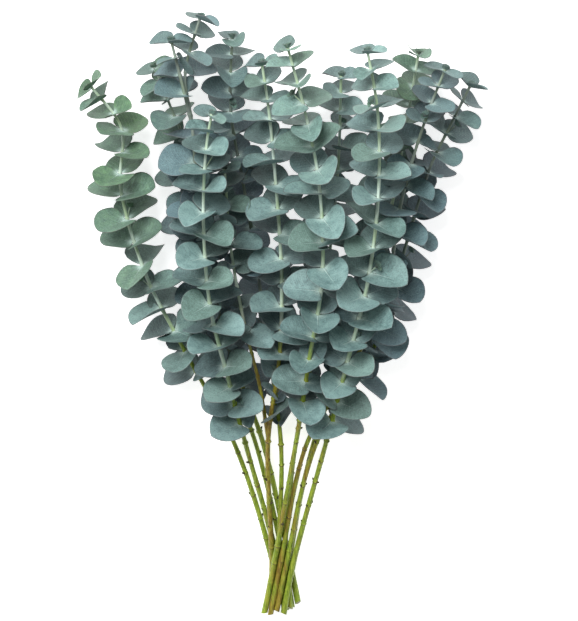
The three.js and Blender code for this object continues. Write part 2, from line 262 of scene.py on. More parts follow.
class Foliage:
    """The leaves placed so far, and whether another one finds room among them."""

    def __init__(self, shoots):
        self.shoots, self.leaves = shoots, []
        self.centres, self.faces = np.zeros((0, 3)), np.zeros((0, 3))
        self.reaches, self.nodes = np.zeros(0), np.zeros(0, int)
        self.beads = np.vstack([s.beads for s in shoots])
        self.radii = np.concatenate([s.bead_radii for s in shoots])
        self.owners = np.concatenate([np.full(len(s.beads), s.number) for s in shoots])

    def add(self, leaf):
        self.leaves.append(leaf)
        self.centres = np.vstack([self.centres, leaf.centre])
        self.faces = np.vstack([self.faces, leaf.face])
        self.reaches = np.append(self.reaches, leaf.reach)
        self.nodes = np.append(self.nodes, leaf.node)

    def meets_stem(self, leaf):
        """Whether its disc comes near a bead of another shoot's stem."""
        away = self.beads - leaf.centre
        height = away @ leaf.face
        level = np.sqrt(np.maximum(0, (away ** 2).sum(1) - height ** 2))
        near = (np.abs(height) <= self.radii + STEM_CLEARANCE) & (level < leaf.reach + self.radii + 1)
        return bool((near & (self.owners != leaf.shoot.number)).any())

    def meets_leaf(self, leaf):
        """Whether its disc comes near another's: both must reach the line where their planes cross."""
        if not self.leaves:
            return False
        same = np.array([other.shoot.sprig == leaf.shoot.sprig for other in self.leaves])
        clearance = np.where(same, OWN_CLEARANCE, LEAF_CLEARANCE)
        apart = self.centres - leaf.centre
        span = leaf.reach + self.reaches + clearance
        near = ((apart ** 2).sum(1) <= span ** 2) & (self.nodes != leaf.node)
        crossing = np.cross(leaf.face, self.faces)
        slant = np.maximum(np.linalg.norm(crossing, axis=1), 1e-9)
        height_a, height_b = np.abs(apart @ leaf.face), np.abs((apart * self.faces).sum(1))
        level = slant < NEARLY_LEVEL
        stacked = level & (np.minimum(height_a, height_b) < clearance + NEARLY_LEVEL * span)
        margin = clearance / np.maximum(slant, LEAST_SLANT)
        half_a = (leaf.reach + margin) ** 2 - (height_b / slant) ** 2
        half_b = (self.reaches + margin) ** 2 - (height_a / slant) ** 2
        reach = np.sqrt(np.maximum(half_a, 0)) + np.sqrt(np.maximum(half_b, 0))
        along = np.abs((crossing * apart).sum(1)) / slant
        crossed = ~level & (half_a >= 0) & (half_b >= 0) & (along < reach)
        return bool((near & (stacked | crossed)).any())

    def fits(self, leaf):
        drop = leaf.reach * math.sqrt(1 - leaf.face[2] ** 2)
        if leaf.centre[2] - drop < FLOOR_CLEARANCE:
            return False
        return not self.meets_stem(leaf) and not self.meets_leaf(leaf)

    def grow(self, shoot):
        """Leaf pairs from the tip down. A leaf that finds no room has been lost."""
        from_tip, k = FIRST_NODE, 0
        while from_tip < shoot.route.length:
            distance = shoot.route.length - from_tip
            shoot.nodes.append(distance)
            if shoot.route.at(distance)[1] < shoot.bare_below:
                return
            slope = shoot.route.frame(distance)[0][2]
            rise = RISE_WITH_SLOPE * slope + RISE_AT_TIP * math.exp(-from_tip / RISE_REACH)
            full = TIP_LEAF_LENGTH + (LEAF_LENGTH - TIP_LEAF_LENGTH) * eased(from_tip, LEAF_GROWTH)
            for half in (0, 1):
                draw = [spread(shoot.number * 100 + k, half * 10 + n) for n in range(5)]
                turn = shoot.turn + k * QUARTER_TURN + half * math.pi + TURN_SPREAD * draw[1]
                facing = math.cos(turn)
                if facing > 0:
                    middle = LEAN_SIDE + (LEAN_UP - LEAN_SIDE) * facing ** 3
                else:
                    middle = LEAN_SIDE - (LEAN_DOWN - LEAN_SIDE) * facing
                lean = middle + rise * facing + LEAN_SPREAD * draw[2]
                roll = ROLL_TO_TOP * math.sin(turn) + ROLL_SPREAD * draw[3]
                length = full * (1 + SIZE_SPREAD * draw[4])
                for more_lean, more_turn, share in TRIES:
                    leaf = Leaf(shoot, distance, turn + more_turn, lean + more_lean, roll,
                                length * share, shoot.number * 100 + k)
                    if self.fits(leaf):
                        self.add(leaf)
                        break
            from_tip += TIP_INTERNODE + (INTERNODE - TIP_INTERNODE) * eased(from_tip, INTERNODE_GROWTH)
            k += 1


# ---------------------------------------------------------------- meshes

MM = 0.001
RIM_POINTS = 28
RINGS = np.array([0.2, 0.42, 0.63, 0.82, 0.94, 1.0])
BLADE_MIDDLE = 0.44
BLADE_SWELL = 0.13
RIM_REST = 2.0

# How much shade is painted on a blade: less where it faces the light, more low down, and more again in the
# sparse crown.
SHADE = 0.34
SHADE_FACING = 0.42
OPEN_HEIGHT, SHADE_DEPTH = 80, 130
CROWN_START, CROWN_SHADE_REACH = 520, 650

# How young and green a blade is, and how far down the shoot that lasts.
YOUTH, YOUTH_POWER = 1.4, 1.4
YOUTH_REACH, GREEN_YOUTH_REACH = 50, 130


def faces_of_blade():
    """Upper side, under side and rim of one blade, as rings of points round a middle point."""
    rings, count = len(RINGS), RIM_POINTS
    under = 1 + rings * count
    faces = []
    for a in range(count):
        b = (a + 1) % count
        faces.append((0, 1 + a, 1 + b))
        faces.append((under, under + 1 + b, under + 1 + a))
        for r in range(rings - 1):
            near, far = 1 + r * count, 1 + (r + 1) * count
            faces.append((near + a, far + a, far + b, near + b))
            faces.append((under + near + b, under + far + b, under + far + a, under + near + a))
        rim = 1 + (rings - 1) * count
        faces.append((rim + a, under + rim + a, under + rim + b, rim + b))
    return faces


BLADE_FACES = faces_of_blade()


def blade(length, thickness, curl, seed):
    """A rounded blade with a clasping base and a short point: x from the stem's axis, y across, z to the
    shoot's tip. Returns its points, and x, y and the share of the way to the rim for its colouring."""
    draw = [spread(seed, 40 + n) for n in range(8)]
    angle = np.arange(RIM_POINTS) * 2 * math.pi / RIM_POINTS
    from_tip = np.minimum(angle, 2 * math.pi - angle)
    from_base = math.pi - from_tip

    # The rim is an oval, drawn out to a point at its tip and to two lobes that clasp the stem.
    x = 0.5 + 0.5 * np.cos(angle) + (0.014 + 0.014 * draw[0]) * np.exp(-(from_tip / 0.16) ** 2)
    x += 0.05 * np.exp(-(from_base / 0.2) ** 2) - 0.1 * np.exp(-((from_base - 0.7) / 0.36) ** 2)
    breadth = LEAF_BREADTH * (1 + 0.06 * draw[1])
    y = 0.5 * breadth * np.sin(angle) * (1 - BLADE_SWELL * np.cos(angle))
    y *= 1 - 0.05 * np.exp(-(from_tip / 0.5) ** 2) + 0.14 * np.exp(-((from_base - 0.75) / 0.4) ** 2)

    # Each ring of points is the rim drawn in towards the middle.
    share = np.concatenate([[0], np.repeat(RINGS, RIM_POINTS)])
    rim_x = np.concatenate([[BLADE_MIDDLE], np.tile(x, len(RINGS))])
    rim_y = np.concatenate([[0], np.tile(y, len(RINGS))])
    around = np.concatenate([[0], np.tile(angle, len(RINGS))])
    px, py = BLADE_MIDDLE + (rim_x - BLADE_MIDDLE) * share, rim_y * share

    # The blade is folded along its midrib, cupped, drooped and twisted a little, and wavy at its rim.
    fold, cup = 0.16 + 0.12 * draw[2], 0.1 * (1 + 0.9 * draw[3])
    droop, twist = 0.06 * (0.2 + draw[4]), 0.12 * draw[5]
    waves = 0.014 * (1 + 0.6 * draw[6]) * np.sin((3 + (seed % 2)) * around + 3 * draw[7])
    pz = fold * np.abs(py) + cup * (2 * py) ** 2 - droop * px ** 2 + twist * px * py * 2
    pz = (pz + waves * share ** 3 + 0.02 * np.exp(-(px / 0.12) ** 2)) * curl
    upper = np.stack([px, py, pz], axis=1) * length
    lower = upper - [0, 0, thickness]
    marks = np.stack([px, py, share], axis=1)
    return np.vstack([upper, lower]), np.vstack([marks, marks])


class Cloud:
    """Points, faces and named marks gathered for one piece."""

    def __init__(self):
        self.points, self.faces, self.slots, self.marks, self.count = [], [], [], {}, 0

    def add(self, points, faces, slots=0, **marks):
        """Faces count from the first of these points. A mark has three numbers a point."""
        self.points.append(points)
        self.faces += [tuple(self.count + i for i in face) for face in faces]
        self.slots += slots if isinstance(slots, list) else [slots] * len(faces)
        for name, values in marks.items():
            self.marks.setdefault(name, []).append(values)
        self.count += len(points)

    def piece(self, name, materials):
        """The finished object, moved to the bunch's origin and into metres."""
        mesh = bpy.data.meshes.new(name)
        places = (np.vstack(self.points) - ORIGIN) * MM
        mesh.from_pydata(places.tolist(), [], self.faces)
        for label, values in self.marks.items():
            mark = mesh.attributes.new(label, "FLOAT_VECTOR", "POINT")
            mark.data.foreach_set("vector", np.vstack(values).astype(np.float32).ravel())
        for material in materials:
            mesh.materials.append(material)
        mesh.polygons.foreach_set("material_index", self.slots)
        mesh.polygons.foreach_set("use_smooth", [True] * len(mesh.polygons))
        mesh.update()
        made = bpy.data.objects.new(name, mesh)
        bpy.context.scene.collection.objects.link(made)
        return made


def put_blade(cloud, base, direction, face, length, thickness, curl, seed, youth, blue):
    """A leaf blade, bent up where its rim would dip into the surface that the bunch lies on."""
    shape, marks = blade(length, thickness, curl, seed)
    sideways = np.cross(face, direction)
    points = base + shape @ np.stack([direction, sideways, face])
    above = (points[:, 2] - ORIGIN[2]) / RIM_REST
    points[:, 2] = ORIGIN[2] + RIM_REST * np.where(above < 1, np.exp(np.minimum(above, 1) - 1), above)
    half = len(points) // 2
    # Painted shade: the blade is darker where it faces down, sits low, or lies towards the crown.
    painted_shade = SHADE - SHADE_FACING * direction[2] + (OPEN_HEIGHT - base[2]) / SHADE_DEPTH
    painted_shade = min(max(painted_shade + max(0, base[1] - CROWN_START) / CROWN_SHADE_REACH, 0), 1)
    kind = np.tile([chance(seed, 61), youth, painted_shade], (len(points), 1))
    side = np.zeros((len(points), 3))
    side[:half, 0] = 1
    side[:, 1] = blue
    cloud.add(points, BLADE_FACES, 0, blade=marks, kind=kind, side=side)


def youth_at(shoot, distance):
    """1 in the bud of a green crown, falling away down the shoot."""
    reach = YOUTH_REACH + GREEN_YOUTH_REACH * shoot.green
    from_tip = shoot.route.length - distance
    return min(1.0, YOUTH * shoot.green ** YOUTH_POWER * math.exp(-((from_tip / reach) ** 2)))


# ---------------------------------------------------------------- stems

STEM_SIDES = 12
TWIG_SIDES = 8
BARK_SWELL = 1.2
LEAFY_SWELL, LEAFY_SWELL_REACH = 0.34, 1.7
SCAR_SWELL, SCAR_SWELL_REACH = 0.24, 0.9
CUT_RINGS = (1.0, 0.84, 0.5, 0.18)
CUT_REACH = 8
LOWEST_SCAR = 14
STRIPPED_CLEAN = 95.0
FAINTEST_RING = 0.35
STUB_CHANCE = 0.78
RING_STEP = 4.0
NODE_RINGS = np.array([-2.4, -1.2, -0.5, 0.0, 0.5, 1.2, 2.4])
LEAST_RING_GAP = 0.25
TUBE_TURNS = np.arange(STEM_SIDES) * 2 * math.pi / STEM_SIDES


def tube_faces(rings, sides):
    """The walls between rings of points that follow one another up a tube."""
    return [
        (r * sides + a, r * sides + (a + 1) % sides, (r + 1) * sides + (a + 1) % sides, (r + 1) * sides + a)
        for r in range(rings - 1) for a in range(sides)
    ]


def bare_nodes(shoot):
    """The scars left below the last leaf pair, spaced much as the leaves above them."""
    found, distance, k = [], shoot.nodes[-1], len(shoot.nodes) - 1
    while not shoot.is_side and distance > LOWEST_SCAR:
        found.append((distance, k))
        distance -= INTERNODE * (1 + 0.16 * spread(shoot.number * 100 + k, 70))
        k += 1
    return found


def cross_frame(shoot, distance):
    """The smooth centre line's point, direction of growth, and the two directions across it."""
    gap = 1.0
    ahead = shoot.route.smooth(min(distance + gap, shoot.route.length))
    behind = shoot.route.smooth(max(distance - gap, 0))
    growth = unit(ahead - behind)
    across = unit(np.cross(growth, UP))
    return shoot.route.smooth(distance), growth, across, np.cross(across, growth)


def stem_marks(shoot, spots, ring, scar):
    """Blue cast, node ring and scar; woodiness, how far among the leaves, and a number of its own."""
    def same(value):
        return np.full(len(spots), value)

    start = shoot.bare_below - 10 + 60 * shoot.brown
    leafy = np.array([shoot.route.at(d)[1] - start for d in spots])
    leafy = np.clip(leafy / (90 + 80 * shoot.brown), 0, 1)
    bark = np.stack([same(shoot.blue), ring, same(scar)], axis=1)
    wood = np.stack([same(shoot.brown), leafy, same(chance(shoot.number, 3))], axis=1)
    return bark, wood


def put_stem(cloud, shoot):
    """A tapering stem with a swelling at each node, cut aslant, and pressed flat where it lies down."""
    scars = bare_nodes(shoot)
    length = shoot.route.length
    spots = [np.arange(0, length, RING_STEP), [length]]
    spots += [d + NODE_RINGS for d in shoot.nodes] + [d + NODE_RINGS for d, _ in scars]
    spots = np.sort(np.clip(np.concatenate(spots), 0, length))
    spots = spots[np.concatenate([[True], np.diff(spots) > LEAST_RING_GAP])]
    leafy = sum(np.exp(-((spots - d) / LEAFY_SWELL_REACH) ** 2) for d in shoot.nodes)
    ring = sum((np.exp(-((spots - d) / SCAR_SWELL_REACH) ** 2)
                * (0.3 + 0.7 * chance(shoot.number * 100 + k, 71)) for d, k in scars), np.zeros(len(spots)))
    ring *= np.clip(spots / STRIPPED_CLEAN, FAINTEST_RING, 1)
    radii = np.array([shoot.radius_at(d) for d in spots]) * BARK_SWELL
    radii *= 1 + LEAFY_SWELL * np.minimum(leafy, 1) + SCAR_SWELL * np.minimum(ring, 1)
    radii *= 1 + 0.035 * np.sin(spots * 0.13 + shoot.number)
    slant = 0 if shoot.is_side else 0.35 + 0.85 * chance(shoot.number, 5)
    cut_turn = math.pi / 2 + 0.9 * spread(shoot.number, 6)
    square = 1 + 0.05 * np.cos(4 * TUBE_TURNS)
    rows = []
    for d, radius in zip(spots, radii):
        centre, growth, across, above = cross_frame(shoot, d)
        out = np.outer(np.cos(TUBE_TURNS) * square, across) + np.outer(np.sin(TUBE_TURNS) * square, above)
        lean = slant * max(0, 1 - d / CUT_REACH) * radius * (1 + np.cos(TUBE_TURNS - cut_turn))
        rows.append(centre + out * radius + np.outer(lean, growth))
    bark, wood = stem_marks(shoot, spots, np.minimum(ring, 1), 0.0)
    sides, last = STEM_SIDES, (len(spots) - 1) * STEM_SIDES
    cut, tip = last + sides, last + (1 + len(CUT_RINGS)) * sides + 1
    middle = rows[0].mean(axis=0)
    growth = cross_frame(shoot, length)[1]
    cuts = [middle + (rows[0] - middle) * share for share in CUT_RINGS]
    points = np.vstack(rows + cuts + [middle[None], shoot.route.smooth(length)[None] + growth * 0.4])
    points[:, 2] = np.maximum(points[:, 2], ORIGIN[2])
    faces = [face[::-1] for face in tube_faces(len(spots), sides)]
    faces += [(last + (a + 1) % sides, last + a, tip) for a in range(sides)]
    slots = [0] * len(faces)
    faces += [tuple(cut + i for i in face) for face in tube_faces(len(CUT_RINGS), sides)]
    heart = tip - 1 - sides
    faces += [(heart + a, heart + (a + 1) % sides, tip - 1) for a in range(sides)]
    slots += [0 if shoot.is_side else 1] * (len(faces) - len(slots))
    marks = [np.repeat(m, sides, axis=0) for m in (bark, wood)]
    marks = [np.vstack([m, np.tile(m[0], (len(CUT_RINGS) * sides + 1, 1)), m[-1]]) for m in marks]
    out_of_heart = np.zeros((len(points), 3))
    out_of_heart[cut:tip - 1, 0] = np.repeat(CUT_RINGS, sides)
    cloud.add(points, faces, slots, bark=marks[0], wood=marks[1], heart=out_of_heart)
    for d, k in scars:
        for half in (0, 1):
            if d > STRIPPED_CLEAN and chance(shoot.number * 100 + k, 80 + half) > 1 - STUB_CHANCE:
                turn = shoot.turn + k * QUARTER_TURN + half * math.pi
                put_stub(cloud, shoot, d, turn, chance(shoot.number * 100 + k, 90 + half))


def put_twig(cloud, shoot, distance, start, direction, length, radii, scar):
    """A small closed tapering rod that stands on the stem."""
    sides, rings = TWIG_SIDES, len(radii)
    side = unit(np.cross(direction, UP + 0.3))
    other = np.cross(direction, side)
    turns = np.arange(sides) * 2 * math.pi / sides
    out = np.outer(np.cos(turns), side) + np.outer(np.sin(turns), other)
    rows = [start + direction * length * i / (rings - 1) + out * radius for i, radius in enumerate(radii)]
    ends = [start[None], (start + direction * (length + radii[-1] * 0.5))[None]]
    faces = tube_faces(rings, sides)
    last = (rings - 1) * sides
    faces += [((a + 1) % sides, a, rings * sides) for a in range(sides)]
    faces += [(last + a, last + (a + 1) % sides, rings * sides + 1) for a in range(sides)]
    count = rings * sides + 2
    bark, wood = stem_marks(shoot, [distance] * count, np.zeros(count), scar)
    cloud.add(np.vstack(rows + ends), faces, 0, bark=bark, wood=wood, heart=np.zeros((count, 3)))


def put_stub(cloud, shoot, distance, turn, size):
    """The dried base of a stripped leaf or twig, but none where the stem lies on the surface."""
    centre, growth, across, above = cross_frame(shoot, distance)
    out = above * math.cos(turn) + across * math.sin(turn)
    radius = shoot.radius_at(distance)
    direction = unit(out + growth * (0.35 + 0.5 * size))
    length = 0.55 * radius + 1.2 + 3.6 * size ** 2
    thick = 0.75 + 0.5 * size
    foot = centre + out * radius * 0.55
    if (foot + direction * length)[2] < ORIGIN[2] + thick:
        return
    put_twig(cloud, shoot, distance, foot, direction, length,
             (thick * 1.5, thick * 1.15, thick, thick * 0.9, thick * 0.5), 1.0)


# ---------------------------------------------------------------- whole sprigs

TIP_BUD = ((6.5, 0.9), (4.5, 1.15), (3.2, 1.3))
TWIG_BUD = ((7.0, 0.5), (5.0, 0.9), (3.5, 1.2))
BUD_CURL = 1.6
TWIG_RADII = (0.8, 0.65, 0.55, 0.5)
TWIG_CHANCE = 0.2


@functools.lru_cache(maxsize=None)
def grown_bunch():
    """Every shoot and every leaf, grown once and used for all pieces."""
    shoots = []
    for sprig in SPRIGS:
        shoots.append(Shoot(sprig, sprig, sprig["radius"], len(shoots)))
        if "side" in sprig:
            radius = sprig["radius"] * SIDE_SHOOT_SHARE
            shoots.append(Shoot(sprig, sprig["side"], radius, len(shoots)))
    foliage = Foliage(shoots)
    for shoot in shoots:
        foliage.grow(shoot)
    return shoots, foliage.leaves


def put_leaf(cloud, leaf, thickness, curl, seed):
    """A grown leaf, moved from the straight runs of its stem to the smooth one."""
    shoot = leaf.shoot
    base = shoot.route.smooth(leaf.distance)
    youth = youth_at(shoot, leaf.distance) * (0.4 + 0.6 * chance(seed, 62))
    put_blade(cloud, base, leaf.direction, leaf.face, leaf.length, thickness, curl, seed, youth, shoot.blue)


def put_bud(cloud, shoot, start, growth, turn, sizes, thickness, seed):
    """Tiny folded leaf pairs, each with its length and lean, and each inside the last."""
    across = unit(np.cross(growth, UP + 0.01))
    above = np.cross(across, growth)
    for k, (length, lean) in enumerate(sizes):
        for half in (0, 1):
            angle = turn + k * QUARTER_TURN + half * math.pi
            out = above * math.cos(angle) + across * math.sin(angle)
            direction = out * math.cos(lean) + growth * math.sin(lean)
            face = growth * math.cos(lean) - out * math.sin(lean)
            place = start + growth * (k * length * 0.16)
            put_blade(cloud, place, direction, face, length, thickness * 0.8, BUD_CURL,
                      seed + 3 * k + half, 0.2 + 0.5 * shoot.green, shoot.blue)


def put_tip(cloud, shoot, thickness):
    """The bud at a shoot's end."""
    tip, growth, _, _ = cross_frame(shoot, shoot.route.length - 1)
    put_bud(cloud, shoot, tip, growth, shoot.turn + QUARTER_TURN, TIP_BUD, thickness, shoot.number * 50 + 7)


def side_twigs(shoot):
    """Where short leafy twigs stand between a leaf and the stem."""
    for k, distance in enumerate(shoot.nodes):
        seed = shoot.number * 100 + k
        if 2 < k < len(shoot.nodes) - 1 and chance(seed, 33) < TWIG_CHANCE:
            yield k, distance, seed


def twig_line(shoot, k, distance, seed):
    """A twig's start, direction, length, and turn about the stem."""
    centre, growth, across, above = cross_frame(shoot, distance)
    turn = shoot.turn + k * QUARTER_TURN + (math.pi if chance(seed, 34) > 0.5 else 0)
    out = above * math.cos(turn) + across * math.sin(turn)
    direction = unit(out * (0.5 + 0.4 * chance(seed, 35)) + growth)
    return centre, direction, 6 + 9 * chance(seed, 36), turn


def leaves_of(name, settings):
    """One sprig's leaves and buds, as one piece."""
    shoots, leaves = grown_bunch()
    thickness = settings.blade_thickness / MM
    cloud = Cloud()
    for i, leaf in enumerate(leaves):
        if leaf.shoot.sprig == name:
            put_leaf(cloud, leaf, thickness, settings.blade_curl, i)
    for shoot in shoots:
        if shoot.sprig == name:
            put_tip(cloud, shoot, thickness)
            for k, distance, seed in side_twigs(shoot):
                start, direction, length, turn = twig_line(shoot, k, distance, seed)
                end = start + direction * length
                put_bud(cloud, shoot, end, direction, turn, TWIG_BUD, thickness, seed)
    return cloud.piece(name + "_leaves", [silver_leaf(settings)])


def stems_of(name, settings):
    """One sprig's stem, side shoot, twigs and stubs, as one piece."""
    cloud = Cloud()
    for shoot in grown_bunch()[0]:
        if shoot.sprig == name:
            put_stem(cloud, shoot)
            for k, distance, seed in side_twigs(shoot):
                start, direction, length, _ = twig_line(shoot, k, distance, seed)
                put_twig(cloud, shoot, distance, start, direction, length, TWIG_RADII, 0.0)
    return cloud.piece(name + "_stem", [green_bark(settings), fresh_cut(settings)])


# ---------------------------------------------------------------- materials

def screen_colour(red, green, blue):
    """A colour as a screen shows it, 0 to 255, in the linear numbers that light uses."""
    return tuple(((c / 255 + 0.055) / 1.055) ** 2.4 for c in (red, green, blue))


class Value:
    """A number on its way through a material's nodes. Arithmetic on it adds Math nodes."""

    def __init__(self, paint, socket):
        self.paint, self.socket = paint, socket

    def math(self, operation, *inputs):
        return self.paint.node("ShaderNodeMath", {"operation": operation}, dict(enumerate(inputs)))

    def __add__(self, other):
        return self.math("ADD", self, other)

    __radd__ = __add__

    def __sub__(self, other):
        return self.math("SUBTRACT", self, other)

    def __rsub__(self, other):
        return self.math("SUBTRACT", other, self)

    def __mul__(self, other):
        return self.math("MULTIPLY", self, other)

    __rmul__ = __mul__

    def __abs__(self):
        return self.math("ABSOLUTE", self)

    def sine(self):
        return self.math("SINE", self)

    def exp(self):
        return self.math("EXPONENT", self)

    def step(self, low, high):
        """0 below low, 1 above high and smooth between, or the other way round if low is above high."""
        ends = {"From Min": min(low, high), "From Max": max(low, high), "Value": self}
        ends.update({"To Min": float(low > high), "To Max": float(low <= high)})
        return self.paint.node("ShaderNodeMapRange", {"interpolation_type": "SMOOTHSTEP"}, ends)


class Paint:
    """A material, and the one method that adds nodes to it."""

    def __init__(self, name):
        self.material = bpy.data.materials.new(name)
        self.material.use_nodes = True
        self.tree = self.material.node_tree
        self.shader = next(n for n in self.tree.nodes if n.type == "BSDF_PRINCIPLED")

    def node(self, kind, settings, sockets, output=0):
        """One node of a kind: its settings first, then its sockets' values or links."""
        made = self.tree.nodes.new(kind)
        for key, value in settings.items():
            setattr(made, key, value)
        for key, value in sockets.items():
            self.feed(made.inputs[key], value)
        return Value(self, made.outputs[output])

    def feed(self, socket, value):
        if isinstance(value, Value):
            self.tree.links.new(value.socket, socket)
        else:
            socket.default_value = value

    def mark(self, name):
        """The three numbers of a named mark on the mesh."""
        return self.parts(self.node("ShaderNodeAttribute", {"attribute_name": name}, {}, "Vector"))

    def parts(self, vector):
        """A vector's three numbers."""
        first = self.node("ShaderNodeSeparateXYZ", {}, {0: vector})
        return [Value(self, socket) for socket in first.socket.node.outputs]

    def spot(self):
        """The point on the surface, in metres from the bunch's origin."""
        return self.node("ShaderNodeTexCoord", {}, {}, "Object")

    def place(self, x, y, z):
        return self.node("ShaderNodeCombineXYZ", {}, {"X": x, "Y": y, "Z": z})

    def noise(self, where, scale, detail=3.0, roughness=0.55):
        return self.node("ShaderNodeTexNoise", {},
                         {"Vector": where, "Scale": scale, "Detail": detail, "Roughness": roughness})

    def mix(self, share, first, second):
        """Two colours, each a link or three linear numbers."""
        first, second = (c if isinstance(c, Value) else (*c, 1.0) for c in (first, second))
        return self.node("ShaderNodeMix", {"data_type": "RGBA"}, {0: share, 6: first, 7: second}, 2)

    def finish(self, colour, roughness, relief=None, relief_depth=0.0003, **constants):
        """Joins the colour, roughness and relief to the shader, and sets what is the same all over."""
        self.feed(self.shader.inputs["Base Color"], colour)
        self.feed(self.shader.inputs["Roughness"], roughness)
        for key, value in constants.items():
            self.shader.inputs[key.replace("_", " ")].default_value = value
        if relief is not None:
            bump = self.node("ShaderNodeBump", {}, {"Strength": 1.0, "Distance": relief_depth,
                                                    "Height": relief}, "Normal")
            self.feed(self.shader.inputs["Normal"], bump)
        return self.material


def shared(make):
    """One material for every sprig, made the first time it is wanted."""
    @functools.wraps(make)
    def wanted(settings):
        name = make.__name__
        return bpy.data.materials.get(name) or make(settings)
    return wanted


@shared
def silver_leaf(settings):
    """Waxy blue-green blade: pale midrib and base, side veins, patchy bloom, a thin dark rim, and painted
    shade.
    """
    p = Paint("silver_leaf")
    x, y, rim = p.mark("blade")
    # The kind mark holds the blade's tint, its youth and its painted shade.
    tint, youth, painted_shade = p.mark("kind")
    upper, blue, _ = p.mark("side")
    off = abs(y)
    own = p.place(x + tint * 37, y + tint * 11, tint * 5)
    bloom = p.noise(own, 5.5, 4, 0.6)
    speck = p.noise(own, 27, 3, 0.65)
    rub = p.noise(own, 2.2, 2)

    # Veins: a midrib, side veins that sweep towards the tip, and a fine net. The base glows pale.
    midrib = off.step(0.018, 0.004) * x.step(1.0, 0.2)
    side_vein = abs(((x - off * 0.7 + off * off * 0.5) * 26).sine()).step(0.34, 0.02)
    side_vein = side_vein * off.step(0.0, 0.06) * rim.step(0.99, 0.75)
    net = p.node("ShaderNodeTexVoronoi", {"feature": "DISTANCE_TO_EDGE"}, {"Vector": own, "Scale": 17.0})
    net = net.step(0.09, 0.0)
    glow = ((x * x + off * off * 1.2) * -26).exp()

    # The sprig's and the blade's own cast, then its lower side, its painted shade and its youth.
    light, deep, pale = settings.leaf_light, settings.leaf_deep, settings.leaf_base
    colour = p.mix((bloom * 1.1 + tint * 0.45 + rub * 0.45).step(0.62, 1.34), deep, light)
    colour = p.mix((tint * 7.3).sine().step(0.1, 1.0) * (1 - blue) * 0.55, colour, settings.leaf_grey_green)
    colour = p.mix(blue * (0.4 + 0.45 * tint), colour, settings.leaf_blue)
    colour = p.mix((1 - upper) * 0.62, colour, settings.leaf_under)
    # Painted shade: the blade is mixed towards a dark slate shade colour where it is sheltered.
    colour = p.mix(painted_shade * (0.78 - 0.2 * bloom), colour, settings.leaf_inner)
    # Young leaves take both their darker patches and their painted shade from the young deep colour.
    young = p.mix(bloom.step(0.3, 0.75) - 0.5 * painted_shade, settings.leaf_young_deep, settings.leaf_young)
    colour = p.mix(youth, colour, young)

    # Veins, rubbed and clouded wax, and the rim.
    colour = p.mix(net * 0.07 + side_vein * (0.09 + 0.1 * (1 - upper)), colour, pale)
    colour = p.mix((midrib * (0.5 - 0.34 * painted_shade) + glow * 0.95).step(0.0, 1.1), colour, pale)
    colour = p.mix(speck.step(0.52, 0.72) * (0.45 - 0.2 * painted_shade), colour, light)
    colour = p.mix(speck.step(0.5, 0.32) * 0.45, colour, settings.leaf_inner)
    colour = p.mix(rim.step(0.955, 1.0) * (0.25 + 0.5 * tint), colour, settings.leaf_rim)
    roughness = 0.5 + 0.22 * bloom - 0.1 * youth
    relief = midrib * 0.9 + side_vein * 0.34 + net * 0.1 + speck * 0.2
    return p.finish(colour, roughness, relief, 0.0005, Specular_IOR_Level=0.42)


@shared
def green_bark(settings):
    """Yellow-green bark that turns brown where it is old and mint-white where it is young."""
    p = Paint("green_bark")
    blue, ring, scar = p.mark("bark")
    brown, leafy, own = p.mark("wood")
    across, along, above = p.parts(p.spot())
    streak = p.noise(p.place(across * 900, along * 60 + own * 9, above * 900), 1.0, 4, 0.6)
    patch = p.noise(p.place(across * 90, along * 34 + own * 50, above * 90), 1.0, 3)
    dots = p.noise(p.place(across * 1500, along * 800, above * 1500), 1.0, 2)

    # Bare bark below, and wax above that is slaty on the bluer sprigs.
    green = p.mix(streak.step(0.3, 0.75), settings.bark_green_deep, settings.bark_green)
    olive = p.mix(streak.step(0.35, 0.7), settings.bark_brown, settings.bark_olive)
    colour = p.mix((patch * 1.7 + brown * 0.5 - 0.6).step(0.35, 0.95), green, olive)
    mint = p.mix(patch.step(0.3, 0.7), settings.bark_mint_deep, settings.bark_mint)
    mint = p.mix(blue.step(0.3, 1.0) * (0.5 + 0.6 * patch), mint, settings.bark_slate)
    colour = p.mix((leafy + patch * 0.3 - 0.15).step(0.2, 0.75), colour, mint)

    # Specks, node rings and dried stubs.
    colour = p.mix(dots.step(0.62, 0.72) * 0.35, colour, settings.bark_brown)
    colour = p.mix((ring * 1.1 + patch * 0.9 - 0.5).step(0.25, 0.9) * 0.8, colour, settings.bark_ring)
    colour = p.mix(scar * (0.8 + 0.2 * streak), colour, settings.bark_scar)
    roughness = 0.42 + 0.2 * leafy + 0.12 * streak + 0.25 * scar
    relief = streak * 0.6 + dots.step(0.6, 0.75) * 0.5 + ring * 0.4
    return p.finish(colour, roughness, relief, 0.0004, Specular_IOR_Level=0.45)


@shared
def fresh_cut(settings):
    """The cut end: green bark, pale wood and a darker pith."""
    p = Paint("fresh_cut")
    out, _, _ = p.mark("heart")
    grain = p.noise(p.spot(), 2400.0, 3)
    wood = p.mix(grain.step(0.35, 0.7), settings.wood_deep, settings.wood_pale)
    colour = p.mix(out.step(0.3, 0.12), wood, settings.wood_pith)
    colour = p.mix(out.step(0.8, 0.95), colour, settings.bark_green_deep)
    return p.finish(colour, 0.62 + 0.2 * grain, grain, 0.0002)


def stage_floor(settings):
    """Matt pale board with the faintest mottling."""
    p = Paint("pale_floor")
    cloudy = p.noise(p.spot(), 3.0, 3)
    colour = p.mix(cloudy, tuple(settings.floor_colour), tuple(c * 0.985 for c in settings.floor_colour))
    p.shader.inputs["Emission Color"].default_value = (1, 1, 1, 1)
    p.shader.inputs["Emission Strength"].default_value = settings.floor_glow
    return p.finish(colour, 0.85 + 0.1 * cloudy)


# ---------------------------------------------------------------- sizes and colours for a user

def colour_property(name, description, shown):
    return bpy.props.FloatVectorProperty(name=name, description=description, subtype="COLOR", size=3,
                                         min=0, max=1, default=screen_colour(*shown))


